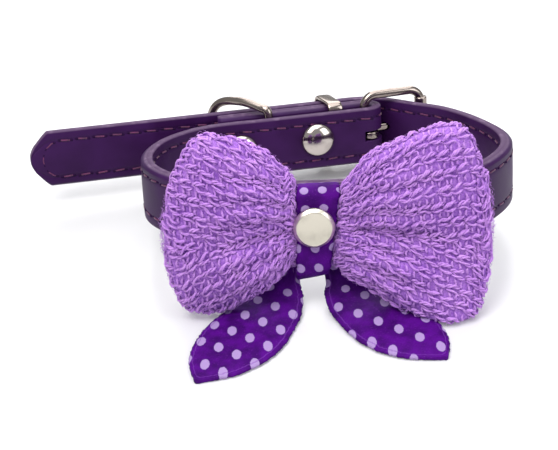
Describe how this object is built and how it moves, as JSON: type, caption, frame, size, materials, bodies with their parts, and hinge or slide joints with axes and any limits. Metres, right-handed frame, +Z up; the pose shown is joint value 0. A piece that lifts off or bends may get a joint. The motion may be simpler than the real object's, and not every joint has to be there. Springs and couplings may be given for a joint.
{
  "type": "pet bow tie collar",
  "caption": "Buckled pet collar strap in a loop, with a knitted bow, a dotted knot and dotted tails held on its front by a snap.",
  "frame": {"origin": "middle of the object's box, on the surface that it rests on", "axes": "+X to the right as seen from the front, -Y to the front where the bow is, +Z up from the surface"},
  "size_m": [0.1226, 0.1068, 0.0454],
  "materials": {
    "strap_leather": "smooth dark purple with a stitched edge",
    "nickel": "polished dark nickel",
    "snap_metal": "satin pale nickel",
    "knit": "open lilac knit",
    "dotted_satin": "deep purple satin ribbon with pale dots"
  },
  "bodies": {
    "collar": {"strap": "strap_leather", "buckle_frame": "nickel", "buckle_tongue": "nickel", "keeper": "nickel", "rivet_a": "nickel", "rivet_b": "nickel", "snap_cap": "snap_metal", "snap_stud": "snap_metal", "bow": "knit", "knot_band": "dotted_satin", "tails": "dotted_satin"},
    "ring": {"d_ring": "nickel"}
  },
  "joints": [
    {"name": "ring_swing", "type": "hinge", "parent": "collar", "child": "ring", "pos_m": [0.0014, 0.03886, 0.01225], "axis": [0, -0.1444, -0.9895], "range_deg": [0, 90]}
  ]
}
